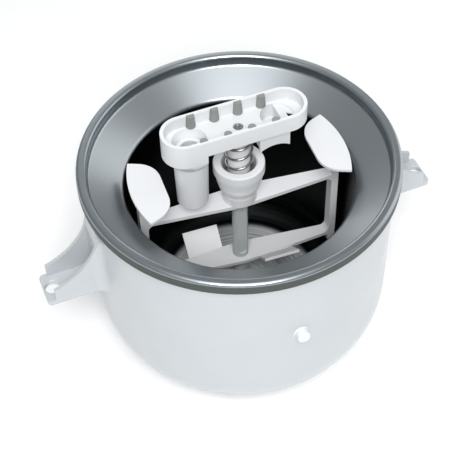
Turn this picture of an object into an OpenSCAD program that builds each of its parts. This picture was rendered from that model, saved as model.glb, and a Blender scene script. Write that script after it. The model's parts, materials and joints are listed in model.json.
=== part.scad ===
// Ice cream maker: a freezer bowl that hangs from a stand mixer's arms by two ears, with a dasher
// that turns in it and a spring-loaded drive that clips to the mixer's beater shaft.
// Millimetres. Z is up, the base stands on z = 0, the bowl's axis is the Z axis and the ears lie on X.

/* [Bowl] */
// Outside radius of the rolled metal rim
rim_r = 108; // [90:0.5:130]
// Height of the rim above the base
bowl_h = 165; // [137:0.5:200]
// Inside radius of the freezing bowl at the foot of its funnel
bowl_r = 77.5; // [76:0.5:79.5]
// Height of the bowl's floor above the base
floor_h = 34; // [28:0.5:41]
// Thickness of the liner's sheet metal
liner_t = 1.6; // [1.2:0.1:2]
// Width of the rolled rim, seen from above
rim_w = 7; // [6:0.5:9]
// Height of the rim's outer skirt
skirt_h = 8.5; // [7:0.5:10.5]
// Depth of the step just inside the rim
step_h = 8; // [6:0.5:10]
// Slope of the funnel, in degrees from level
funnel_a = 29; // [22:1:34]
// Radius lost by the bowl's wall between its funnel and its floor
wall_draft = 3; // [1:0.5:4]
// Inside radius between the bowl's wall and its floor
floor_round = 18; // [12:1:22]

/* [Shell] */
// How far the shell's side stands in from the rim
shell_inset = 4; // [3.5:0.5:6]
// Wall thickness of the plastic shell
shell_t = 3; // [2:0.1:3.3]
// Radius of the shell's rounded bottom
base_round = 56; // [40:1:60]
// Height of the air space between the freezing liquid and the funnel's foot
gel_gap = 5; // [4:0.5:18]
// Radius of the filling plug's stem
plug_r = 5; // [4:0.5:7]
// Distance of the filling plug from the bowl's axis
plug_y = 26; // [18:1:30]

/* [Ears] */
// Distance of each ear's hole from the bowl's axis
ear_pitch = 137.7; // [130:0.1:165]
// Radius of the hole in each ear
ear_hole_r = 5.3; // [4:0.1:6]
// Width of each ear
ear_w = 25; // [20:0.5:30]
// Height of the ear's floor above the base
ear_z = 94.5; // [85:0.5:115]
// Thickness of the ear's floor
ear_t = 4; // [3:0.5:6]
// Thickness of the ear's side walls
ear_wall = 2.5; // [2:0.1:4]
// Height of the ear's side walls at their outer end
ear_lip = 9.5; // [6:0.5:12]
// Height of the ear's side walls where they meet the shell
ear_rise = 47.5; // [40:0.5:48]
// Length of the ear's tip beyond its hole
ear_tip = 6.5; // [6:0.5:10]
// Radius of the fillet between an ear and the shell
ear_fillet = 9; // [4:1:14]
// Radius of the sweep that carries an ear's side walls up to the shell
ear_sweep_r = 51.3; // [42:0.1:90]

/* [Latch stud] */
// Radius of the stud's head
stud_r = 4.5; // [3.5:0.1:6]
// How far the stud stands out of the shell
stud_out = 6; // [4:0.5:9]
// Height of the stud above the base
stud_z = 101.5; // [90:0.5:110]

/* [Dasher] */
// Gap between the dasher's side bars and the bowl's wall
dasher_gap = 6; // [5:0.5:8]
// Depth of the top bar below the rim
top_bar_drop = 37.5; // [35:0.5:40]
// Height of the lower bar above the bowl's floor
low_bar_rise = 33.5; // [28:0.5:36]
// Thickness of both bars
bar_t = 3; // [2.5:0.1:4]
// Width of both bars at the middle
bar_w = 18.5; // [15:0.5:20]
// Width of both bars at their ends
bar_end_w = 7; // [6:0.5:11]
// Width of a side bar, along the dasher
side_w = 5; // [4:0.5:7]
// Depth of a side bar, across the dasher
side_d = 8; // [6:0.5:10]
// Length of a side bar below the lower bar
side_foot = 6.5; // [4:0.5:9]
// Height of the wings above the top bar
wing_rise = 26; // [22:0.5:30]
// Thickness of a wing
wing_t = 2; // [1.5:0.1:3]
// Radius of a wing's outer edge about the bowl's axis
wing_r = 75; // [73:0.5:80]
// Distance of a wing's straight inner edge from the bowl's axis
wing_in = 51.9; // [50:0.1:58]
// Half the length of that edge, before its corners are rounded
wing_half = 21.3; // [19:0.1:22]
// Half angle of a wing's outer edge, in degrees
wing_a = 22.3; // [18:0.1:26]
// Radius of a wing's inner corners
wing_round = 17; // [8:0.5:18]
// Distance from the axis to the near end of a scraper tab
tab_near = 11; // [9:0.5:16]
// Length of a scraper tab along the bar
tab_len = 26; // [20:0.5:30]
// Height of a scraper tab along its slope
tab_h = 19.5; // [14:0.5:20]
// Thickness of a scraper tab
tab_t = 2; // [1.5:0.1:2.5]
// Slope of a scraper tab, in degrees from level
tab_a = 42; // [35:0.5:60]
// Rest angle of the dasher about the bowl's axis, in degrees
dasher_turn = -3; // [-10:1:10]

/* [Post] */
// Radius of the dasher's post
post_r = 5.6; // [5:0.1:6.8]
// Radius of the journal at the foot of the post
journal_r = 4; // [3:0.1:4.5]
// Height of the bush that the post stands in
foot_h = 6; // [5:0.5:8]
// Outside radius of that bush
foot_r = 7.5; // [6.5:0.5:10]
// Width of the sunk panel on the post's front
panel_w = 7; // [5:0.5:7.5]

/* [Clutch] */
// Outside radius of the dasher's hub
hub_r = 11.8; // [11.3:0.1:12.6]
// Height of the hub above the top bar
hub_h = 7.5; // [6.5:0.5:9]
// Number of drive dogs
dog_count = 4; // [3:1:6]
// Angle covered by each dog, in degrees
dog_a = 22; // [15:1:30]
// Outside radius of the clutch plate's flange
plate_r = 14.3; // [13.6:0.1:15.2]
// Height of the clutch plate
plate_h = 9.5; // [7:0.5:12]
// Thickness of the friction washer
washer_t = 1; // [0.8:0.1:2]
// Outside radius of the clutch driver
driver_r = 17.5; // [16:0.5:19]
// Height of the clutch driver
driver_h = 16; // [14:0.5:20]
// Travel of the driver against its spring
clutch_travel = 4; // [2:0.5:5]

/* [Spindle] */
// Radius of the spindle inside the spring
spindle_r = 7.6; // [6:0.1:9.2]
// Radius of the spindle below its shoulder
tail_r = 5; // [4.2:0.1:5.5]
// Length of spindle between the driver and the tray
spindle_gap = 28.5; // [24:0.5:36]
// Radius of the spring's wire
wire_r = 0.85; // [0.6:0.05:1]
// Gap between the spindle and the spring round it
coil_gap = 0.45; // [0.3:0.05:1]
// Gap between the spring and the wall of the driver's recess
recess_gap = 1.95; // [0.5:0.05:2.5]
// Number of turns of the spring
coil_turns = 5.5; // [4:0.5:8]

/* [Drive housing] */
// Distance of the shaft socket from the bowl's axis
socket_x = 33.4; // [31:0.1:36]
// Radius of the shaft socket
socket_r = 6.5; // [5:0.1:6.7]
// Outside radius of the socket column at its foot
column_r = 10.6; // [10.2:0.1:11]
// Height of the column's foot above the dasher's top bar
column_foot = 12; // [8:0.5:20]
// Half the width of the tray
tray_r = 15; // [14:0.5:17]
// Distance of the tray's left end from the axis
tray_left = 52.2; // [50:0.1:53]
// Distance of the tray's right end from the axis
tray_right = 47.1; // [45:0.1:53]
// Height of the tray
tray_h = 12; // [10:0.5:15]
// Thickness of the tray's floor
tray_floor = 3; // [2.5:0.1:4]
// Thickness of the tray's wall
tray_wall = 2.4; // [2:0.1:3]
// Radius of the round pocket in the tray's right end
pocket_r = 11; // [9:0.5:11.5]
// Distance of that pocket from the axis
pocket_x = 27; // [25:0.5:28]
// Depth of the skirt below the tray
skirt_drop = 14.5; // [12:0.5:18]

/* [Grip pads] */
// Number of pads in each row
pad_count = 4; // [3:1:5]
// Distance between neighbouring pads
pad_pitch = 16.3; // [14:0.1:17]
// Radius of a pad at its foot
pad_foot_r = 3.3; // [2.6:0.1:3.6]
// Radius of a pad at its top
pad_top_r = 2.6; // [1.8:0.1:2.9]

/* [Fits] */
// Radial clearance of a running fit
run_fit = 0.05; // [0.02:0.01:0.09]
// Clearance between pieces that only lie beside each other
part_gap = 0.3; // [0.2:0.05:0.4]

/* [Hidden] */
$fn = 96;
eps = 0.01;

shell_white = "#d9dee1";
metal_grey = "#8d949a";
part_white = "#ecedef";
pad_grey = "#999e99";
steel = "#b9bcc0";

// Bowl and shell
side_r = rim_r - shell_inset;
step_r = rim_r - rim_w;
funnel_z = bowl_h - step_h;
wall_top_z = funnel_z - (step_r - bowl_r) * tan(funnel_a);
wall_foot_r = bowl_r - wall_draft;
rim_round = 2.4;
bend_round = 5;
step_round = 2.5;
flare_h = 11;
shell_top_z = bowl_h - liner_t - 1.6;
seat_r = rim_r - liner_t - part_gap;
gel_top_z = wall_top_z - gel_gap;
plug_head_r = plug_r + 3;
plug_head_t = 0.9;
plug_head_z = 0.2;
plug_seal_t = 0.6;
plug_seat_z = plug_head_z + plug_head_t + plug_seal_t;
stud_collar_r = stud_r + 0.6;
stud_sink = 1;

// Heights of the dasher and of the drive above it
top_bar_z = bowl_h - top_bar_drop;
low_bar_z = floor_h + low_bar_rise;
side_x = bowl_r - dasher_gap;
wing_z = top_bar_z + wing_rise;
bar_mid_x = 2;
hub_top_z = top_bar_z + hub_h;
spigot_r = 3;
spigot_h = 1.8;
cavity_z = top_bar_z + spigot_h;
cavity_r = tail_r + 3.6;
dog_slot_r = hub_r - 1;
plate_top_z = hub_top_z + plate_h;
driver_z = plate_top_z + washer_t;
driver_top_z = driver_z + driver_h;
keyway_h = 7;
recess_z = driver_z + keyway_h;
coil_r = spindle_r + coil_gap + wire_r;
recess_r = coil_r + wire_r + recess_gap;
seat_t = 0.8;
tray_z = driver_top_z + spindle_gap;
tray_floor_z = tray_z + tray_floor;
tray_top_z = tray_z + tray_h;
column_z = top_bar_z + column_foot;
pads_mid_x = -3.5;
screw_r = 1.9;
screw_head_r = 3.3;
screw_head_sink = 2;
screw_len = 15;

// ---- outlines ----

function unit(v) = v / norm(v);
function turned(v, a) = [v.x * cos(a) - v.y * sin(a), v.x * sin(a) + v.y * cos(a)];
function right_of(d) = [d.y, -d.x];
function reversed(list) = [for (i = [len(list) - 1 : -1 : 0]) list[i]];

// Points of the arc round the corner b of a line a, b, c, with the line moved by t to its right
function bend(a, b, c, r, t, steps) =
    let (d1 = unit(b - a), d2 = unit(c - b))
    let (n1 = right_of(d1), n2 = right_of(d2))
    let (swing = atan2(d1.x * d2.y - d1.y * d2.x, d1 * d2), s = sign(swing))
    let (centre = b - s * r * (n1 + n2) / (1 + n1 * n2))
    [for (k = [0 : steps]) centre + (s * r + t) * turned(n1, swing * k / steps)];

// A line with rounded corners, moved by t to its right; the ends stay square
function line(points, radii, t, steps = 8) =
    let (last = len(points) - 1)
    concat(
        [points[0] + t * right_of(unit(points[1] - points[0]))],
        [for (i = [1 : last - 1])
            for (p = bend(points[i - 1], points[i], points[i + 1], radii[i - 1], t, steps)) p],
        [points[last] + t * right_of(unit(points[last] - points[last - 1]))]);

// A wall between the line moved by t1 and the line moved by t2
function wall(points, radii, t1, t2, steps = 8) =
    concat(line(points, radii, t1, steps), reversed(line(points, radii, t2, steps)));

function arc(centre, r, a1, a2, steps = 12) =
    [for (k = [0 : steps]) centre + r * [cos(a1 + (a2 - a1) * k / steps), sin(a1 + (a2 - a1) * k / steps)]];

liner_points = [[0, floor_h], [wall_foot_r, floor_h], [bowl_r, wall_top_z], [step_r, funnel_z],
    [step_r, bowl_h], [rim_r, bowl_h], [rim_r, bowl_h - skirt_h]];
liner_radii = [floor_round, bend_round, step_round, rim_round, rim_round];
shell_points = [[0, 0], [side_r, 0], [side_r, shell_top_z - flare_h], [seat_r, shell_top_z - flare_h / 2],
    [seat_r, shell_top_z]];
shell_radii = [base_round, 4, 4];

module tube(r_out, r_in, h) {
    difference() {
        cylinder(h = h, r = r_out);
        translate([0, 0, -1]) cylinder(h = h + 2, r = r_in);
    }
}

// Extrudes an outline drawn in X and Z through a width along Y, centred on Y = 0
module across(w) {
    translate([0, w / 2, 0]) rotate([90, 0, 0]) linear_extrude(w) children();
}

// ---- bowl ----

ear_wall_end = ear_pitch + 0.8;
ear_end = ear_pitch + ear_tip;
ear_base_z = ear_z - ear_t;

// The ear seen from the front: a level floor, and side walls that sweep from its outer end up to the shell
module ear_side() {
    low_end = [ear_wall_end, ear_z + ear_lip];
    high_end = [side_r + 0.3, ear_z + ear_rise];
    chord = high_end - low_end;
    rise = sqrt(pow(ear_sweep_r, 2) - pow(norm(chord) / 2, 2));
    c = (low_end + high_end) / 2 + rise * unit([chord.y, -chord.x]);
    a1 = atan2(low_end.y - c.y, low_end.x - c.x) + 360;
    a2 = atan2(high_end.y - c.y, high_end.x - c.x);
    a2_up = a2 < 0 ? a2 + 360 : a2;
    polygon(concat(
        [[side_r - shell_t, ear_base_z + 1], [side_r + 2, ear_base_z], [ear_end - 1, ear_base_z],
            [ear_end, ear_base_z + 1], [ear_end, ear_z - 0.6], [ear_end - 0.6, ear_z],
            [ear_wall_end, ear_z]],
        arc(c, ear_sweep_r, a1, a2_up),
        [[side_r - shell_t, ear_z + ear_rise]]));
}

// The ear seen from above: parallel sides, filleted into the round shell
module ear_plan() {
    half = ear_w / 2;
    f = ear_fillet;
    cx = sqrt(pow(side_r + f, 2) - pow(half + f, 2));
    meet = atan2(half + f, cx);
    tip_round = 3;
    polygon(concat(
        [[0, -half - f]],
        [(side_r - 0.5) * [cos(meet), -sin(meet)]],
        arc([cx, -half - f], f, 180 - meet, 90, 8),
        arc([ear_end - tip_round, -half + tip_round], tip_round, -90, 0, 6),
        arc([ear_end - tip_round, half - tip_round], tip_round, 0, 90, 6),
        arc([cx, half + f], f, -90, -180 + meet, 8),
        [(side_r - 0.5) * [cos(meet), sin(meet)]],
        [[0, half + f]]));
}

// The hollow between an ear's side walls, rounded up into the shell at its inner end
module ear_channel() {
    inner = side_r + 2.5;
    r = 12;
    across(ear_w - 2 * ear_wall) polygon(concat(
        [[ear_end + 5, ear_z]],
        arc([inner + r, ear_z + r], r, 270, 180, 8),
        [[inner, ear_z + ear_rise + 5], [ear_end + 5, ear_z + ear_rise + 5]]));
}

module ear() {
    difference() {
        intersection() {
            across(ear_w + 4 * ear_fillet) ear_side();
            linear_extrude(bowl_h) ear_plan();
        }
        cylinder(h = bowl_h, r = side_r - shell_t / 2);
        ear_channel();
        translate([ear_pitch, 0, ear_base_z - 1]) cylinder(h = ear_t + 2, r = ear_hole_r);
        translate([ear_pitch, 0, ear_z - 0.5]) cylinder(h = 0.6, r1 = ear_hole_r, r2 = ear_hole_r + 0.6);
    }
}

module outer_shell() {
    color(shell_white) difference() {
        union() {
            rotate_extrude() polygon(wall(shell_points, shell_radii, 0, -shell_t, 16));
            ear();
            mirror([1, 0, 0]) ear();
        }
        translate([0, plug_y, -1]) cylinder(h = shell_t + 2, r = plug_r + run_fit);
        translate([0, plug_y, -1]) cylinder(h = plug_seat_z + 1, r = plug_head_r + part_gap);
        translate([0, 0, stud_z]) rotate([90, 0, 0]) cylinder(h = rim_r, r = stud_r / 2 + run_fit);
        translate([0, -side_r + stud_sink, stud_z]) rotate([90, 0, 0])
            cylinder(h = 5, r = stud_collar_r + run_fit);
    }
}

module bowl_liner() {
    color(metal_grey) rotate_extrude() polygon(wall(liner_points, liner_radii, 0, liner_t));
}

// Gasket between the shell's top edge and the underside of the rolled rim
module rim_seal() {
    low = shell_top_z + part_gap / 4;
    high = bowl_h - liner_t - part_gap / 4;
    color("#2e302f") rotate_extrude() polygon([[seat_r - shell_t, low], [seat_r - 0.9, low],
        [seat_r - 0.9, high - 0.3], [seat_r - 1.2, high], [seat_r - shell_t + 0.3, high],
        [seat_r - shell_t, high - 0.3]]);
}

// The sealed liquid between the shell and the liner
module freezing_gel() {
    below = [[0, 0], [side_r, 0], [side_r, gel_top_z]];
    above = [[0, floor_h], [wall_foot_r, floor_h], [bowl_r, gel_top_z]];
    color("#9fc4d8") difference() {
        rotate_extrude() polygon(concat(
            line(below, [base_round], -shell_t - part_gap, 12),
            reversed(line(above, [floor_round], liner_t + part_gap, 8))));
        translate([0, plug_y, 0]) cylinder(h = shell_t + 4, r = plug_r + part_gap);
    }
}

module fill_plug() {
    color(part_white) translate([0, plug_y, 0]) {
        translate([0, 0, plug_head_z]) cylinder(h = plug_head_t, r = plug_head_r);
        translate([0, 0, plug_head_z + eps]) cylinder(h = shell_t + 1.7, r = plug_r);
    }
}

module plug_seal() {
    color("#2e302f") translate([0, plug_y, plug_head_z + plug_head_t + eps])
        tube(plug_head_r - 0.4, plug_r + run_fit, plug_seal_t - 2 * eps);
}

// Round stud with a low collar that is let into the shell
module latch_stud() {
    collar_z = side_r + 0.3;
    color(part_white) translate([0, 0, stud_z]) rotate([90, 0, 0]) rotate_extrude() polygon([
        [0, side_r - shell_t], [stud_r / 2, side_r - shell_t], [stud_r / 2, side_r - stud_sink],
        [stud_collar_r, side_r - stud_sink], [stud_collar_r, collar_z], [stud_r, collar_z],
        [stud_r, side_r + stud_out - 0.8], [stud_r - 0.8, side_r + stud_out],
        [0, side_r + stud_out]]);
}

// ---- dasher ----

module foot_bush() {
    color(part_white) translate([0, 0, floor_h]) rotate_extrude() polygon([
        [0, 0], [foot_r - 0.8, 0], [foot_r, 0.8], [foot_r, foot_h - 0.8], [foot_r - 0.8, foot_h],
        [journal_r + run_fit, foot_h], [journal_r + run_fit, 1.7], [0, 1.7]]);
}

// A bar from side to side, wide at the middle and narrow at the ends
module bar(top_z, mid_x) {
    w = bar_w / 2;
    e = bar_end_w / 2;
    x = side_x;
    translate([0, 0, top_z - bar_t]) linear_extrude(bar_t) polygon([[-x, -e], [-mid_x, -w],
        [mid_x, -w], [x, -e], [x, e], [mid_x, w], [-mid_x, w], [-x, e]]);
}

// Concave fillet between a side bar and a bar's face at the height z: above it for up = 1, below for -1
module corner_fillet(z, up) {
    r = 4.5;
    x = side_x - side_w + eps;
    across(side_d) polygon(concat([[x, z]],
        [for (p = arc([0, 0], r, 0, 90, 6)) [x - r + p.x, z + up * (r - p.y)]]));
}

module side_bar() {
    foot_z = low_bar_z - bar_t - side_foot;
    translate([side_x - side_w, -side_d / 2, foot_z]) cube([side_w, side_d, wing_z - foot_z + eps]);
    corner_fillet(top_bar_z - bar_t, -1);
    corner_fillet(low_bar_z, 1);
}

// Flat wing over the funnel's foot: an arc outside, a straight edge with round corners inside
module wing() {
    tip = wing_r * [cos(wing_a), sin(wing_a)];
    corner = [wing_in, wing_half];
    near = bend([wing_in, 0], corner, tip, wing_round, 0, 8);
    translate([0, 0, wing_z]) linear_extrude(wing_t) polygon(concat(
        near,
        arc([0, 0], wing_r, wing_a, -wing_a, 16),
        reversed([for (p = near) [p.x, -p.y]])));
}

// Half the width of a bar at the distance x from the axis
function bar_half(x, mid_x) = bar_w / 2 - (bar_w - bar_end_w) / 2 * (x - mid_x) / (side_x - mid_x);

// Sloping tab along the lower bar's edge
module scraper_tab() {
    edge = bar_half(tab_near + tab_len / 2, bar_mid_x);
    translate([tab_near, -edge + 0.8, low_bar_z - tab_t]) rotate([90 - tab_a, 0, 0])
        translate([0, -tab_t, 0]) cube([tab_len, tab_t, tab_h]);
}

module half_frame() {
    side_bar();
    wing();
    scraper_tab();
}

module dasher_frame() {
    color(part_white) rotate(dasher_turn) difference() {
        union() {
            bar(top_bar_z, bar_mid_x);
            bar(low_bar_z, bar_mid_x);
            half_frame();
            rotate(180) half_frame();
        }
        translate([0, 0, floor_h]) cylinder(h = bowl_h, r = post_r + run_fit);
    }
}

module dasher_post() {
    base_z = floor_h + foot_h;
    panel_low = low_bar_z + 7;
    panel_high = top_bar_z - bar_t - 6;
    panel_sink = 1.6;
    color("#b4b8ba") rotate(dasher_turn) difference() {
        union() {
            translate([0, 0, base_z]) cylinder(h = top_bar_z - base_z, r = post_r);
            translate([0, 0, floor_h + 2]) cylinder(h = base_z - floor_h - 2 + eps, r = journal_r);
            translate([0, 0, top_bar_z - eps]) cylinder(h = spigot_h, r = spigot_r);
        }
        translate([-panel_w / 2, -post_r - 1, panel_low])
            cube([panel_w, panel_sink + 1, panel_high - panel_low]);
        translate([0, -post_r + panel_sink, panel_low]) rotate([90, 0, 0])
            cylinder(h = panel_sink + 1, r = panel_w / 2);
        translate([-panel_w / 2, -post_r - 1, panel_high + 2]) cube([panel_w, 1.8, 1.2]);
    }
}

// Equally spaced ring segments: the plate's dogs, or with a gap the slots that they drop into
module dogs(low_z, high_z, inner, outer, gap) {
    half = dog_a / 2 + gap * 180 / (PI * hub_r);
    for (i = [0 : dog_count - 1]) rotate(dasher_turn + 90 + i * 360 / dog_count)
        translate([0, 0, low_z]) linear_extrude(high_z - low_z) polygon(concat(
            arc([0, 0], inner, -half, half, 4),
            arc([0, 0], outer, half, -half, 4)));
}

module dasher_hub() {
    color(part_white) difference() {
        translate([0, 0, top_bar_z]) rotate_extrude() polygon([[spigot_r + run_fit, 0], [hub_r, 0],
            [hub_r, hub_h - 0.6], [hub_r - 0.6, hub_h], [cavity_r, hub_h],
            [cavity_r, spigot_h], [spigot_r + run_fit, spigot_h]]);
        dogs(cavity_z + 0.4, hub_top_z + 1, cavity_r - 1, dog_slot_r, part_gap);
    }
}

// ---- clutch ----

module clutch_plate() {
    neck_h = plate_h - 4;
    color(part_white) {
        translate([0, 0, hub_top_z]) rotate_extrude() polygon([[tail_r + run_fit, 0], [hub_r + 0.2, 0],
            [hub_r + 0.2, neck_h], [plate_r - 0.6, neck_h], [plate_r, neck_h + 0.6],
            [plate_r, plate_h - 0.6], [plate_r - 0.6, plate_h], [tail_r + run_fit, plate_h]]);
        dogs(cavity_z + 0.8, hub_top_z + 0.5, cavity_r + 0.3, dog_slot_r - part_gap, 0);
    }
}

module friction_washer() {
    color("#8a7f70") translate([0, 0, plate_top_z]) tube(plate_r - 1.5, spindle_r + 0.6, washer_t);
}

// Two keys that stop the driver turning on the spindle, or with a gap their keyways
module spindle_keys(gap, low_z, high_z) {
    root = 1;
    key_h = 1.1;
    key_w = 2.5;
    for (side = [0, 180]) rotate(side) translate([spindle_r - root, -key_w / 2 - gap, low_z])
        cube([root + key_h + gap, key_w + 2 * gap, high_z - low_z]);
}

// Cup for the spring, with two narrower rings under it
module clutch_driver() {
    low_r = driver_r - 2;
    ledge_r = driver_r - 1.1;
    groove_r = driver_r - 1.6;
    ledge_h = 4.4;
    groove_h = 7.2;
    cup_h = 8;
    color(part_white) difference() {
        translate([0, 0, driver_z]) rotate_extrude() polygon([[spindle_r + run_fit, 0],
            [low_r - 0.6, 0], [low_r, 0.6], [low_r, ledge_h], [ledge_r, ledge_h + 0.6],
            [ledge_r, groove_h], [groove_r, groove_h + 0.4], [groove_r, cup_h], [driver_r, cup_h + 0.6],
            [driver_r, driver_h - 1.2], [driver_r - 0.4, driver_h - 0.4], [driver_r - 1.2, driver_h],
            [recess_r + 1, driver_h], [recess_r, driver_h - 1], [recess_r, recess_z - driver_z],
            [spindle_r + run_fit, recess_z - driver_z]]);
        spindle_keys(part_gap, driver_z - 1, recess_z + 1);
    }
}

module spring_seat() {
    color(steel) translate([0, 0, recess_z]) difference() {
        cylinder(h = seat_t, r = recess_r - part_gap);
        translate([0, 0, -1]) cylinder(h = seat_t + 2, r = spindle_r + part_gap);
    }
}

// Coil spring swept as one closed tube along a helix, level for three quarters of a turn at each end
module clutch_spring() {
    sides = 8;
    rings = round(20 * coil_turns);
    low = recess_z + seat_t + wire_r + 0.05;
    high = tray_z - wire_r - 0.05;
    dead = 0.75 * 360;
    sweep = coil_turns * 360;
    function lift(a) = min(max((a - dead) / (sweep - 2 * dead), 0), 1);
    points = [for (i = [0 : rings]) let (a = sweep * i / rings)
        let (z = low + (high - low) * lift(a))
        for (k = [0 : sides - 1]) let (b = 360 * k / sides, r = coil_r + wire_r * cos(b))
            [r * cos(a), r * sin(a), z + wire_r * sin(b)]];
    faces = concat(
        [[for (k = [0 : sides - 1]) k]],
        [for (i = [0 : rings - 1]) for (k = [0 : sides - 1]) let (m = (k + 1) % sides)
            [i * sides + k, (i + 1) * sides + k, (i + 1) * sides + m, i * sides + m]],
        [[for (k = [sides - 1 : -1 : 0]) rings * sides + k]]);
    color(steel) polyhedron(points, faces, convexity = 10);
}

module drive_spindle() {
    tip_z = cavity_z + 0.9;
    groove_z = hub_top_z - 2.1;
    color(part_white) difference() {
        union() {
            translate([0, 0, driver_z - washer_t / 2])
                cylinder(h = tray_z - driver_z + washer_t / 2, r = spindle_r);
            translate([0, 0, tip_z]) cylinder(h = driver_z - tip_z, r = tail_r);
            spindle_keys(0, driver_z, recess_z - part_gap);
        }
        translate([0, 0, groove_z]) tube(tail_r + 1, tail_r - 0.8, 1);
        translate([0, 0, tray_floor_z - screw_head_sink - screw_len - 1])
            cylinder(h = screw_len + 2, r = screw_r + run_fit);
    }
}

module thrust_washer() {
    color(steel) translate([0, 0, hub_top_z - 0.95]) tube(cavity_r - 0.6, tail_r + run_fit, 0.85);
}

// Split ring in the groove of the spindle's tail
module retaining_ring() {
    color(steel) translate([0, 0, hub_top_z - 2.05]) difference() {
        tube(tail_r + 2.4, tail_r - 0.75, 0.9);
        translate([0, -tail_r * 0.6, -1]) cube([20, tail_r * 1.2, 3]);
    }
}

// ---- drive housing ----

tray_c1 = -tray_left + tray_r;
tray_c2 = tray_right - tray_r;
column_top_r = column_r + 1.2;
collar_z = tray_z - 6;
mouth_z = tray_z - 4.5;
pocket_sink = 1.2;
pocket_deep = 8;
pocket_box_wall = 2.2;
pocket_box_right = pocket_x + 4;
bush_r = socket_r + 1.5;

module stadium(r) {
    translate([tray_c1, 0]) circle(r);
    translate([tray_c2, 0]) circle(r);
    translate([tray_c1, -r]) square([tray_c2 - tray_c1, 2 * r]);
}

// The tray's left end carried down into the column
module column_body() {
    edge = -socket_x + column_r - 3.6;
    translate([-socket_x, 0, column_z]) cylinder(h = tray_z - column_z, r1 = column_r, r2 = column_top_r);
    translate([0, 0, collar_z]) linear_extrude(tray_z - collar_z + eps) {
        translate([tray_c1, 0]) circle(tray_r);
        translate([tray_c1, -tray_r]) square([edge - tray_c1, 2 * tray_r]);
    }
    hull() {
        translate([tray_c1, 0, collar_z - eps]) cylinder(h = 2 * eps, r = tray_r, $fn = 48);
        translate([edge - 4, -tray_r, collar_z - eps]) cube([4, 2 * tray_r, 2 * eps]);
        translate([-socket_x, 0, collar_z - 8]) cylinder(h = 1, r = column_top_r - 0.25, $fn = 48);
    }
}

// Box under the right end that holds the deep pocket, arched along its lower edge
module pocket_box() {
    low = tray_z - skirt_drop;
    left = 10;
    len = pocket_box_right - left;
    w = pocket_box_wall;
    half = pocket_r + 1.8;
    arch_r = 18;
    arch_z = low + 4.5;
    difference() {
        translate([left, -half, low]) cube([len, 2 * half, skirt_drop + eps]);
        translate([left - 1, -half + w, low - 1]) cube([len - w + 1, 2 * (half - w), 5.5]);
        translate([left + len / 2, half + 1, arch_z - arch_r]) rotate([90, 0, 0])
            cylinder(h = 2 * half + 2, r = arch_r);
    }
}

// Round pad that tapers upwards and is let a little into the tray's side wall
module pad_shape(x, side, gap) {
    sink = 0.6;
    centre_y = tray_r - tray_wall - 0.2;
    reach = tray_r - tray_wall + sink + gap;
    intersection() {
        translate([x, side * centre_y, tray_floor_z - gap]) cylinder(h = tray_h - tray_floor + 0.2 + gap,
            r1 = pad_foot_r + gap, r2 = pad_top_r + gap);
        translate([x - 5, side > 0 ? 0 : -reach, tray_floor_z - gap]) cube([10, reach, tray_h + 2]);
    }
}

module pad_row(side, gap) {
    for (i = [0 : pad_count - 1])
        pad_shape(pads_mid_x + (i - (pad_count - 1) / 2) * pad_pitch, side, gap);
}

module drive_housing() {
    hole_x = pocket_box_right + 2.8;
    hole_y = -2;
    hole_len = 4.2;
    hole_half = 3.6;
    hole_floor = 1;
    hole_rim = 1;
    color(part_white) difference() {
        union() {
            translate([0, 0, tray_z]) linear_extrude(tray_h) stadium(tray_r);
            column_body();
            pocket_box();
        }
        translate([0, 0, tray_floor_z]) linear_extrude(tray_h) stadium(tray_r - tray_wall);
        translate([-socket_x, 0, mouth_z])
            cylinder(h = tray_floor_z - mouth_z + eps, r1 = bush_r + 1.6, r2 = tray_r - tray_wall - 1);
        translate([-socket_x, 0, column_z - 1]) cylinder(h = mouth_z - column_z + 2, r = bush_r + run_fit);
        translate([pocket_x, 0, tray_floor_z - pocket_sink]) cylinder(h = 2, r = pocket_r);
        intersection() {
            translate([pocket_x, 0, tray_z - pocket_deep])
                cylinder(h = pocket_deep + tray_floor + 1, r = pocket_r);
            translate([0, -tray_r, tray_z - pocket_deep - 1])
                cube([pocket_box_right - pocket_box_wall, 2 * tray_r, pocket_deep + tray_h]);
        }
        translate([0, 0, tray_z - 1]) linear_extrude(tray_floor + 2)
            polygon([[hole_x, hole_y - hole_half], [hole_x + hole_len, hole_y],
                [hole_x, hole_y + hole_half]]);
        translate([hole_x - hole_rim, hole_y - hole_half - hole_rim, tray_z - 1])
            cube([hole_len + 2 * hole_rim, 2 * (hole_half + hole_rim),
                tray_floor - pocket_sink - hole_floor + 1]);
        translate([0, 0, tray_z - 1]) cylinder(h = tray_floor + 2, r = screw_r + run_fit);
        translate([0, 0, tray_floor_z - screw_head_sink]) cylinder(h = 3, r = screw_head_r + 0.2);
        pad_row(1, 0.1);
        pad_row(-1, 0.1);
    }
}

// Lining of the socket for the mixer's beater shaft, slotted for the shaft's cross pin
module socket_bush() {
    top_z = mouth_z + 1.2;
    foot_z = column_z + 1.5;
    color(part_white) translate([-socket_x, 0, 0]) difference() {
        union() {
            translate([0, 0, foot_z]) cylinder(h = top_z - foot_z, r = bush_r);
            translate([0, 0, mouth_z + eps]) cylinder(h = 1.2 - eps, r = bush_r + 1.2);
        }
        translate([0, 0, foot_z - 1]) cylinder(h = top_z - foot_z + 2, r = socket_r);
        translate([-socket_r - 0.8, -1.6, top_z - 8]) cube([2 * socket_r + 1.6, 3.2, 10]);
    }
}

module rear_grip_pads() {
    color(pad_grey) pad_row(1, 0);
}

module front_grip_pads() {
    color(pad_grey) pad_row(-1, 0);
}

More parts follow.
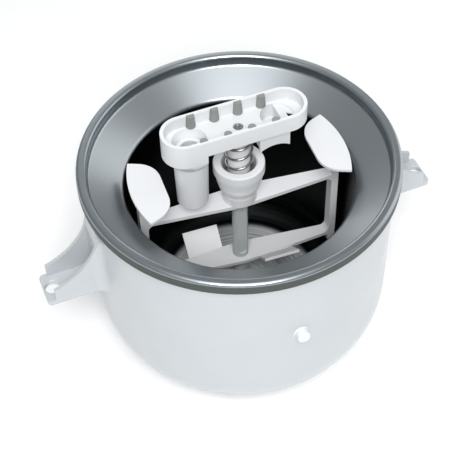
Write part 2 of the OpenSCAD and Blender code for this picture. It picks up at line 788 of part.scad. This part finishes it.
module spindle_screw() {
    head_z = tray_floor_z - screw_head_sink;
    color(steel) difference() {
        union() {
            translate([0, 0, head_z]) cylinder(h = 1.5, r1 = screw_head_r, r2 = screw_head_r - 0.4);
            translate([0, 0, head_z - screw_len]) cylinder(h = screw_len + eps, r = screw_r);
        }
        for (a = [0, 90]) rotate(a) translate([-2, -0.4, head_z + 0.6]) cube([4, 0.8, 2]);
    }
}

outer_shell();
bowl_liner();
rim_seal();
freezing_gel();
fill_plug();
plug_seal();
latch_stud();
foot_bush();
dasher_frame();
dasher_post();
dasher_hub();
clutch_plate();
friction_washer();
clutch_driver();
spring_seat();
clutch_spring();
drive_spindle();
thrust_washer();
retaining_ring();
drive_housing();
socket_bush();
rear_grip_pads();
front_grip_pads();
spindle_screw();
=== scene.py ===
# %% [markdown]
# # Ice cream maker
# A freezer bowl that hangs from a stand mixer by two ears, the dasher that turns in it, and the sprung
# drive that joins the dasher to the mixer's beater shaft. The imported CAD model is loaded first, as a
# fixed frame in metres with Z up. Each piece below is then modelled in that frame, or keeps its CAD
# mesh and gets a finish, so nothing has to be fitted together afterwards.

# %% Load the frame
import bpy
import json
import math
from mathutils import Matrix, Vector

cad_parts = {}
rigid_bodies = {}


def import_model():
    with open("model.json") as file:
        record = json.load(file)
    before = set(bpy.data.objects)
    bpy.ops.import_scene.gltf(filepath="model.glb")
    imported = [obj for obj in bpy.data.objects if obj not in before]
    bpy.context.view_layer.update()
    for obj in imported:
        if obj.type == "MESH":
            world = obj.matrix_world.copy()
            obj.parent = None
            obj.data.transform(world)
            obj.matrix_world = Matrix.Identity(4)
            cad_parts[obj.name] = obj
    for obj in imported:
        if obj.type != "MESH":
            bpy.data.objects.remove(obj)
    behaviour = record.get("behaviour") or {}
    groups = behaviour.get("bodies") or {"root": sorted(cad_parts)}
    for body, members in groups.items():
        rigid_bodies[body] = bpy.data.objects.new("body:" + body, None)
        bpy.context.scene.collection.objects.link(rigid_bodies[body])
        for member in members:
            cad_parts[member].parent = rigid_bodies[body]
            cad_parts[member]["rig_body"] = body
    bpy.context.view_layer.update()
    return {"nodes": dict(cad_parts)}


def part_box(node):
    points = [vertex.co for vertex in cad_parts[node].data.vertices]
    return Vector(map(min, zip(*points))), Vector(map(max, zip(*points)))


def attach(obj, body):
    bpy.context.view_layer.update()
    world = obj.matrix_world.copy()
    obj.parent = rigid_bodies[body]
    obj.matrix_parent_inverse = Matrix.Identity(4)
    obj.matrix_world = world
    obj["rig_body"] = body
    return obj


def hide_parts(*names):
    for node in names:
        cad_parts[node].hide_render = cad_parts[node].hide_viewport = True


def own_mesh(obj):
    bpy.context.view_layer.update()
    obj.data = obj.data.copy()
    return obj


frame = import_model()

nodes = frame["nodes"]
MM = 0.001

# %% [markdown]
# ## Driving places
# Levels and radii come from the boxes of CAD nodes, so a change of size in the CAD model carries over
# to the looks. The liner gives the rim's height and radius, the foot bush stands on the bowl's floor,
# and the CAD spring gives the coil its two ends.

# %% Levels and radii read from the frame
rim_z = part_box("bowl_liner")[1].z
rim_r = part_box("bowl_liner")[1].x
floor_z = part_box("foot_bush")[0].z
spring_low, spring_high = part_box("clutch_spring")
print("rim height %.1f mm, radius %.1f mm, floor at %.1f mm" % (rim_z / MM, rim_r / MM, floor_z / MM))

# %% [markdown]
# ## Camera
# A product view looks down at the object at about 49 degrees, from the front and a little to the left.
# A long lens keeps the round rim close to an ellipse. The camera is placed on a line through a point near
# the bowl's axis, so its angle, distance and lens are three separate values. A small roll turns it
# about its own axis.

# %% Camera
azimuth = math.radians(-20.3)
elevation = math.radians(49.0)
roll = math.radians(-2.0)
aim = Vector((-10.9, 1.2, 100)) * MM
reach = 813 * MM
lens_mm = 92.8
sensor_mm = 36
forward = Vector((-math.sin(azimuth) * math.cos(elevation), math.cos(azimuth) * math.cos(elevation),
                  -math.sin(elevation)))
camera_data = bpy.data.cameras.new("camera")
camera_data.lens = lens_mm
camera_data.sensor_width = sensor_mm
camera = bpy.data.objects.new("camera", camera_data)
bpy.context.scene.collection.objects.link(camera)
turn = forward.to_track_quat("-Z", "Y").to_matrix().to_4x4() @ Matrix.Rotation(roll, 4, "Z")
camera.matrix_world = Matrix.Translation(aim - reach * forward) @ turn
bpy.context.scene.camera = camera
print("camera at", [round(value, 3) for value in camera.matrix_world.translation])

# %% [markdown]
# ## Stage and light
# The floor is one pale plane far wider than the object. Four soft boxes stand round it, because white
# plastic shows its shape only by slow changes of brightness, and bright metal shows whatever stands
# round it. The key light is the strongest and stands in front, the top light fills the bowl, and the
# lights on the right and behind open the sides that the key light misses.

# %% Floor
FLOOR_SIZE = 6
bpy.ops.object.select_all(action="DESELECT")
bpy.ops.mesh.primitive_plane_add(size=FLOOR_SIZE, location=(0, 0, 0))
floor = bpy.context.object
floor.name = "floor"
print("floor is", FLOOR_SIZE, "m wide")


# %% Lights
def soft_box(name, place, target, size, watts):
    """A square area light at a place, aimed at a target."""
    data = bpy.data.lights.new(name, "AREA")
    data.size = size
    data.energy = watts
    lamp = bpy.data.objects.new(name, data)
    bpy.context.scene.collection.objects.link(lamp)
    lamp.location = place
    lamp.rotation_euler = (Vector(target) - Vector(place)).to_track_quat("-Z", "Y").to_euler()


LIGHT_TARGET = (0, 0, 0.1)
WORLD_COLOUR = (0.84, 0.86, 0.87, 1)
WORLD_STRENGTH = 0.42
soft_boxes = [  # name, place and size in metres, power in watts
    ("key_light", (-0.36, -0.96, 1.32), 0.7, 22),
    ("top_light", (-0.14, -0.39, 1.55), 1.0, 4.5),
    ("right_light", (1.5, 0.1, 0.7), 1.6, 8),
    ("back_light", (0.5, 1.8, 1.0), 1.0, 5),
]
for name, place, size, watts in soft_boxes:
    soft_box(name, place, LIGHT_TARGET, size, watts)
world = bpy.data.worlds.new("studio")
bpy.context.scene.world = world
world.use_nodes = True
background = world.node_tree.nodes["Background"]
background.inputs["Color"].default_value = WORLD_COLOUR
background.inputs["Strength"].default_value = WORLD_STRENGTH
print(len(soft_boxes), "soft boxes:", ", ".join(row[0] for row in soft_boxes))
bpy.context.scene.view_settings.view_transform = "Standard"

# %% [markdown]
# ## How a finish is made
# Each finish is a Principled shader with its constants on its own sockets, and a few nodes for what
# varies over the surface. One function adds a node with its settings and its links, and one function
# turns a hex colour into the linear values that the shader works in.


# %% Finish helpers
def linear(code):
    """An sRGB hex colour as linear red, green, blue and alpha."""
    parts = [int(code[i:i + 2], 16) / 255 for i in (1, 3, 5)]
    return [c / 12.92 if c <= 0.04045 else ((c + 0.055) / 1.055) ** 2.4 for c in parts] + [1.0]


def add(tree, kind, inputs=None, **settings):
    """Adds a node; an input is a constant, or the output socket that is linked to it."""
    new = tree.nodes.new(kind)
    for name, value in settings.items():
        setattr(new, name, value)
    for name, value in (inputs or {}).items():
        if isinstance(value, bpy.types.NodeSocket):
            tree.links.new(value, new.inputs[name])
        else:
            new.inputs[name].default_value = value
    return new


def start_finish(name, code, roughness, **sockets):
    """A new material: its tree, its shader and the object coordinates, in metres."""
    material = bpy.data.materials.new(name)
    material.use_nodes = True
    tree = material.node_tree
    shader = tree.nodes["Principled BSDF"]
    shader.inputs["Base Color"].default_value = linear(code)
    shader.inputs["Roughness"].default_value = roughness
    for socket, value in sockets.items():
        shader.inputs[socket.replace("_", " ")].default_value = value
    place = add(tree, "ShaderNodeTexCoord").outputs["Object"]
    return material, tree, shader, place


def vary(tree, source, low, high):
    """A value from 0 to 1 spread between two others."""
    spread = add(tree, "ShaderNodeMapRange", {"Value": source, "To Min": low, "To Max": high})
    return spread.outputs["Result"]


FLOW_MM = 28
GRAIN_HEIGHT = 0.05 * MM
GLOSSIER, DULLER = 0.05, 0.07


def moulded(name, code, roughness, grain_mm, bump, tint, **sockets):
    """Moulded plastic: fine tool texture in the surface, and slow changes of gloss and colour."""
    material, tree, shader, place = start_finish(name, code, roughness, **sockets)
    grain = add(tree, "ShaderNodeTexNoise", {"Vector": place, "Scale": 1 / (grain_mm * MM), "Detail": 3})
    flow = add(tree, "ShaderNodeTexNoise", {"Vector": place, "Scale": 1 / (FLOW_MM * MM), "Detail": 2})
    height = add(tree, "ShaderNodeBump",
                 {"Height": grain.outputs["Fac"], "Strength": bump, "Distance": GRAIN_HEIGHT})
    tree.links.new(height.outputs["Normal"], shader.inputs["Normal"])
    gloss = vary(tree, flow.outputs["Fac"], roughness - GLOSSIER, roughness + DULLER)
    tree.links.new(gloss, shader.inputs["Roughness"])
    shade = add(tree, "ShaderNodeMix", {"Factor": flow.outputs["Fac"]}, data_type="RGBA")
    shade.inputs["A"].default_value = linear(code)
    shade.inputs["B"].default_value = linear(tint)
    tree.links.new(shade.outputs["Result"], shader.inputs["Base Color"])
    return material


# %% [markdown]
# ## White plastics
# The bowl's shell is injection-moulded polypropylene, a waxy, slightly glossy plastic with a cool white.
# The dasher and the drive are moulded in acetal, which is harder, whiter and a little more satin. Both
# come out of a polished tool, so their texture is too fine to see and only slow changes of gloss
# show. The post takes a greyer copy of the white plastic, which is painted shade from the top bar.

# %% White plastics
shell_plastic = moulded("injection_moulded_polypropylene", "#bdc1c4", 0.30, 0.4, 0.05, "#b7bcc0",
                        IOR=1.49, Coat_Weight=0.15, Coat_Roughness=0.2)
white_plastic = moulded("moulded_white_acetal", "#dddee0", 0.36, 0.4, 0.05, "#d8dadc", IOR=1.48)
# The post's greyer colour is painted shade: a darker copy of the dasher's white plastic.
post_plastic = moulded("grey_plastic_painted_shade", "#bfc4c4", 0.42, 0.5, 0.08, "#b6bbbb", IOR=1.53)
print("plastics:", ", ".join(one.name for one in (shell_plastic, white_plastic, post_plastic)))

# %% [markdown]
# ## Rubbers and fibre
# The gaskets are moulded nitrile rubber, nearly black and matt. The grip pads are a soft grey elastomer.
# The clutch runs on a washer of pressed fibre, whose mottle is about a millimetre across. The liquid
# sealed in the bowl's wall is a clear blue, and stays out of sight.

# %% Rubbers and fibre
seal_rubber = moulded("moulded_nitrile_rubber", "#2b2d2c", 0.62, 0.6, 0.2, "#343635", IOR=1.52)
pad_rubber = moulded("moulded_soft_elastomer", "#868c88", 0.55, 0.5, 0.2, "#7e8480", IOR=1.5)
washer_fibre = moulded("pressed_fibre", "#8a7f70", 0.8, 1.0, 0.5, "#6f6558", IOR=1.5)
gel_liquid = moulded("freezing_liquid", "#9fc4d8", 0.12, 2.0, 0.05, "#8fb8cf", IOR=1.34)
soft_finishes = (seal_rubber, pad_rubber, washer_fibre, gel_liquid)
print("rubbers, fibre and liquid:", ", ".join(one.name for one in soft_finishes))

# %% [markdown]
# ## Metals
# The liner is pressed aluminium, satin anodised. Its floor is turned, so fine grooves run in rings about
# the bowl's axis, about 1.6 mm apart; the floor is painted white and partly diffuse as a painted
# highlight, and the rings show on it. The funnel and the rim are blasted first, so they are smooth and
# soft. The wall is painted near black and the skirt outside the rim dark grey, both painted shade.
# The zones are told apart by height and by distance from the axis. The washers and the screw are
# ground stainless steel, and the spring is bright drawn wire.


# %% Metal helpers
def axis_distance(tree, place):
    """Height above the base, and distance from the Z axis."""
    axes = add(tree, "ShaderNodeSeparateXYZ", {"Vector": place})
    flat = add(tree, "ShaderNodeCombineXYZ", {"X": axes.outputs["X"], "Y": axes.outputs["Y"]})
    radius = add(tree, "ShaderNodeVectorMath", {0: flat.outputs["Vector"]}, operation="LENGTH")
    return axes.outputs["Z"], radius.outputs["Value"]


def ring_marks(tree, place, ring_mm):
    """Noise that is the same all round the axis, so it draws rings."""
    height, radius = axis_distance(tree, place)
    across = add(tree, "ShaderNodeCombineXYZ", {"X": radius, "Y": height})
    return add(tree, "ShaderNodeTexNoise",
               {"Vector": across.outputs["Vector"], "Scale": 1 / (ring_mm * MM), "Detail": 3}).outputs["Fac"]


def ramp(tree, value, start, end):
    """0 before the start and 1 after the end, with a smooth change between them."""
    return add(tree, "ShaderNodeMapRange", {"Value": value, "From Min": start, "From Max": end},
               interpolation_type="SMOOTHSTEP").outputs["Result"]


def blend_colour(tree, factor, first, second):
    """A mix of two colours, each a hex code or a socket."""
    mix = add(tree, "ShaderNodeMix", {"Factor": factor}, data_type="RGBA")
    for socket, value in (("A", first), ("B", second)):
        if isinstance(value, str):
            mix.inputs[socket].default_value = linear(value)
        else:
            tree.links.new(value, mix.inputs[socket])
    return mix.outputs["Result"]


GROOVE_HEIGHT = 0.1 * MM
SMOOTHER, ROUGHER = 0.08, 0.1


def turned(name, code, roughness, ring_mm, strength):
    """Metal with fine machining marks in rings about the Z axis."""
    material, tree, shader, place = start_finish(name, code, roughness, Metallic=1.0)
    marks = ring_marks(tree, place, ring_mm)
    bump = add(tree, "ShaderNodeBump",
               {"Height": marks, "Strength": strength, "Distance": GROOVE_HEIGHT})
    tree.links.new(bump.outputs["Normal"], shader.inputs["Normal"])
    gloss = vary(tree, marks, roughness - SMOOTHER, roughness + ROUGHER)
    tree.links.new(gloss, shader.inputs["Roughness"])
    return material


# %% Zones of the liner
funnel_foot_z = rim_z - 21 * MM
flat_r = max(vertex.co.to_2d().length for vertex in nodes["bowl_liner"].data.vertices
             if abs(vertex.co.z - floor_z) < 0.05 * MM)
skirt_r = rim_r - 1.5 * MM
# Each pair is where a change of zone starts and where it ends, in metres.
wall_to_funnel_z = (funnel_foot_z - 2 * MM, funnel_foot_z + 1.5 * MM)
wall_to_floor_r = (flat_r + 1 * MM, flat_r - 5 * MM)
funnel_to_lip_z = (rim_z - 5 * MM, rim_z - 3 * MM)
lip_to_skirt_r = (skirt_r - 0.6 * MM, skirt_r + 0.9 * MM)
lip_to_skirt_z = (rim_z - 1.6 * MM, rim_z - 2.4 * MM)
print("floor is flat to radius %.1f mm, funnel starts at %.1f mm" % (flat_r / MM, funnel_foot_z / MM))

# %% Colours and levels of the liner
# The floor's two colours draw its real turning rings over a painted highlight, and the floor zone is less
# metallic so the white shows as diffuse light.
FLOOR_DARK, FLOOR_BRIGHT = "#b9bec3", "#ffffff"
# The wall's near-black and the skirt's dark grey are painted shade.
WALL_PAINTED_SHADE, FUNNEL_GREY, LIP_GREY, SKIRT_PAINTED_SHADE = "#1d2020", "#b0b6ba", "#a3aaae", "#5c615e"
FLOOR_CONTRAST = (-0.9, 1.9)
# Each pair is the value away from the named zone, and in it.
FLOOR_GROOVES = (0.02, 0.5)
FLOOR_METALLIC = (1, 0.3)
FLOOR_ROUGHNESS = (0, 0.15)
SKIRT_ROUGHNESS = (0.3, 0.6)
RING_MM = 1.6

# %% Anodised liner
liner_metal, tree, shader, place = start_finish("satin_anodised_aluminium", "#a2a7aa", 0.34, Metallic=1.0)
height, radius = axis_distance(tree, place)
above_wall = ramp(tree, height, *wall_to_funnel_z)
below_wall = ramp(tree, radius, *wall_to_floor_r)
marks = ring_marks(tree, place, RING_MM)
# Floor colour: real turning rings over a painted highlight.
floor_rings_and_painted_highlight = blend_colour(tree, vary(tree, marks, *FLOOR_CONTRAST), FLOOR_DARK, FLOOR_BRIGHT)
# Below the funnel the wall takes its painted shade, and the floor zone takes its floor colour.
lower_metal = blend_colour(tree, below_wall, WALL_PAINTED_SHADE, floor_rings_and_painted_highlight)
upper_metal = blend_colour(tree, ramp(tree, height, *funnel_to_lip_z), FUNNEL_GREY, LIP_GREY)
inner_metal = blend_colour(tree, above_wall, lower_metal, upper_metal)
skirt = add(tree, "ShaderNodeMath", {0: ramp(tree, radius, *lip_to_skirt_r),
                                     1: ramp(tree, height, *lip_to_skirt_z)},
            operation="MULTIPLY").outputs["Value"]
# Outside the rim the skirt takes its painted dark shade.
tree.links.new(blend_colour(tree, skirt, inner_metal, SKIRT_PAINTED_SHADE), shader.inputs["Base Color"])
bump = add(tree, "ShaderNodeBump", {"Height": marks, "Distance": GROOVE_HEIGHT,
                                    "Strength": vary(tree, below_wall, *FLOOR_GROOVES)})
tree.links.new(bump.outputs["Normal"], shader.inputs["Normal"])
tree.links.new(vary(tree, below_wall, *FLOOR_METALLIC), shader.inputs["Metallic"])
rough = add(tree, "ShaderNodeMath", {0: vary(tree, skirt, *SKIRT_ROUGHNESS),
                                     1: vary(tree, below_wall, *FLOOR_ROUGHNESS)}, operation="ADD")
tree.links.new(rough.outputs["Value"], shader.inputs["Roughness"])
print(liner_metal.name, "has", len(tree.nodes), "nodes")

# %% Steel and wire
steel = turned("ground_stainless_steel", "#b9bcc0", 0.28, 0.5, 0.2)
spring_wire = turned("bright_drawn_wire", "#a3a4a2", 0.24, 0.3, 0.1)
print("steels:", steel.name, "and", spring_wire.name)

# %% [markdown]
# ## Finishes of the CAD nodes
# A node whose CAD mesh stays in view takes its finish here, through its object's material slots.


# %% Give each CAD node its finish
def give_finish(piece, finish):
    """Puts one finish on every material slot of an object."""
    for slot in piece.material_slots:
        slot.link = "OBJECT"
        slot.material = finish


finishes = {
    shell_plastic: ["outer_shell"],
    liner_metal: ["bowl_liner"],
    seal_rubber: ["rim_seal", "plug_seal"],
    gel_liquid: ["freezing_gel"],
    post_plastic: ["dasher_post"],
    washer_fibre: ["friction_washer"],
    steel: ["spring_seat", "thrust_washer", "retaining_ring", "spindle_screw"],
    spring_wire: ["clutch_spring"],
    pad_rubber: ["rear_grip_pads", "front_grip_pads"],
    white_plastic: ["fill_plug", "latch_stud", "foot_bush", "dasher_frame", "dasher_hub", "clutch_plate",
                    "clutch_driver", "drive_spindle", "drive_housing", "socket_bush"],
}
for finish, names in finishes.items():
    for name in names:
        give_finish(nodes[name], finish)
floor.data.materials.append(moulded("matt_paper", "#fdfdfd", 0.85, 1.0, 0.02, "#fafafa", IOR=1.5))
print(sum(len(names) for names in finishes.values()), "nodes have one of", len(finishes), "finishes")

# %% [markdown]
# ## Moulded edges
# No moulded edge is sharp: the tool's edges are a little round, and a thin bright line runs along each
# edge of the real parts because of it. The CAD shapes have sharp edges. A copy of the node's mesh is
# merged, its flat triangles are dissolved into whole faces, and a bevel rounds each edge where the
# faces turn by more than 32 degrees, which leaves the facets of round walls alone. Edges that still
# turn by more than 31 degrees are marked sharp, and weighted normals keep the wide faces flat.
# Modelling those parts again from primitives would give the same faces with more work, and they could
# drift from the sizes that fit together.


# %% Rounded copy of a CAD node
def only(piece):
    """Selects one object and makes it the active one."""
    bpy.ops.object.select_all(action="DESELECT")
    piece.select_set(True)
    bpy.context.view_layer.objects.active = piece


def modify(piece, kind, **settings):
    """Adds a modifier with its settings and applies it."""
    only(piece)
    modifier = piece.modifiers.new(kind.lower(), kind)
    for name, value in settings.items():
        setattr(modifier, name, value)
    bpy.ops.object.modifier_apply(modifier=modifier.name)


MERGE_DISTANCE = 0.002 * MM
FLAT_ANGLE, ROUND_ANGLE, SHARP_ANGLE = (math.radians(angle) for angle in (0.6, 32, 31))
BEVEL_SEGMENTS = 3
NORMAL_WEIGHT = 50


def rounded_copy(node, name, finish, width):
    """A merged copy of a CAD node with rounded edges, in place of the node."""
    piece = nodes[node].copy()
    piece.data = nodes[node].data.copy()
    piece.name = name
    bpy.context.scene.collection.objects.link(piece)
    only(piece)
    bpy.ops.object.mode_set(mode="EDIT")
    bpy.ops.mesh.select_all(action="SELECT")
    bpy.ops.mesh.remove_doubles(threshold=MERGE_DISTANCE)
    bpy.ops.mesh.dissolve_limited(angle_limit=FLAT_ANGLE)
    bpy.ops.object.mode_set(mode="OBJECT")
    modify(piece, "BEVEL", width=width, segments=BEVEL_SEGMENTS, limit_method="ANGLE",
           angle_limit=ROUND_ANGLE, miter_outer="MITER_ARC", use_clamp_overlap=True)
    only(piece)
    bpy.ops.object.shade_smooth()
    bpy.ops.object.mode_set(mode="EDIT")
    bpy.ops.mesh.select_all(action="DESELECT")
    bpy.ops.mesh.edges_select_sharp(sharpness=SHARP_ANGLE)
    bpy.ops.mesh.mark_sharp()
    bpy.ops.object.mode_set(mode="OBJECT")
    modify(piece, "WEIGHTED_NORMAL", keep_sharp=True, weight=NORMAL_WEIGHT)
    give_finish(piece, finish)
    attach(piece, nodes[node]["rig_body"])
    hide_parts(node)
    print(name, "has", len(piece.data.polygons), "faces")


# %% The parts whose shape is the CAD shape with its edges rounded
rounded_parts = [  # CAD node, name, finish, slot, radius in mm
    ("dasher_frame", "dasher_casting", white_plastic, "white_plastic", 0.7),
    ("drive_housing", "drive_casting", white_plastic, "white_plastic", 0.7),
    ("clutch_driver", "clutch_cup", white_plastic, "white_plastic", 0.12),
    ("clutch_plate", "clutch_flange", white_plastic, "white_plastic", 0.12),
    ("dasher_hub", "dasher_boss", white_plastic, "white_plastic", 0.12),
    ("outer_shell", "bowl_shell", shell_plastic, "shell_plastic", 0.6),
    ("dasher_post", "post_turning", post_plastic, "post_plastic", 0.3),
    ("latch_stud", "stud_turning", white_plastic, "white_plastic", 0.3),
]
for node, name, finish, slot_name, radius_mm in rounded_parts:
    rounded_copy(node, name, finish, radius_mm * MM)

# %% [markdown]
# ## Spring
# The clutch's spring is cold-wound from bright wire: a helix with its end coils closed. It follows one
# formula, so the wire's centre line is computed and swept with a round section. It stands between the
# seat in the cup and the tray's underside.

# %% Wound wire
WIRE_R = 0.85 * MM
TURNS = 5.5
CLOSED_TURNS = 0.75
STEPS = 48
SECTION_STEPS = 4
coil_r = spring_high.x - WIRE_R
foot, top = spring_low.z + WIRE_R, spring_high.z - WIRE_R
centre_line = []
for i in range(int(TURNS * STEPS) + 1):
    turns = i / STEPS
    lift = min(max((turns - CLOSED_TURNS) / (TURNS - 2 * CLOSED_TURNS), 0), 1)
    angle = 2 * math.pi * turns
    centre_line.append((coil_r * math.cos(angle), coil_r * math.sin(angle), foot + (top - foot) * lift))
wire = bpy.data.curves.new("coil_spring", "CURVE")
wire.dimensions = "3D"
wire.bevel_depth = WIRE_R
wire.bevel_resolution = SECTION_STEPS
wire.use_fill_caps = True
spline = wire.splines.new("POLY")
spline.points.add(len(centre_line) - 1)
for point, spot in zip(spline.points, centre_line):
    point.co = (*spot, 1)
coil = bpy.data.objects.new("coil_spring", wire)
bpy.context.scene.collection.objects.link(coil)
only(coil)
bpy.ops.object.convert(target="MESH")
bpy.ops.object.shade_smooth()
coil.data.materials.append(spring_wire)
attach(coil, nodes["clutch_spring"]["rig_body"])
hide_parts("clutch_spring")
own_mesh(coil)
print("coil_spring has", len(coil.data.polygons), "faces, radius %.2f mm" % (coil_r / MM))
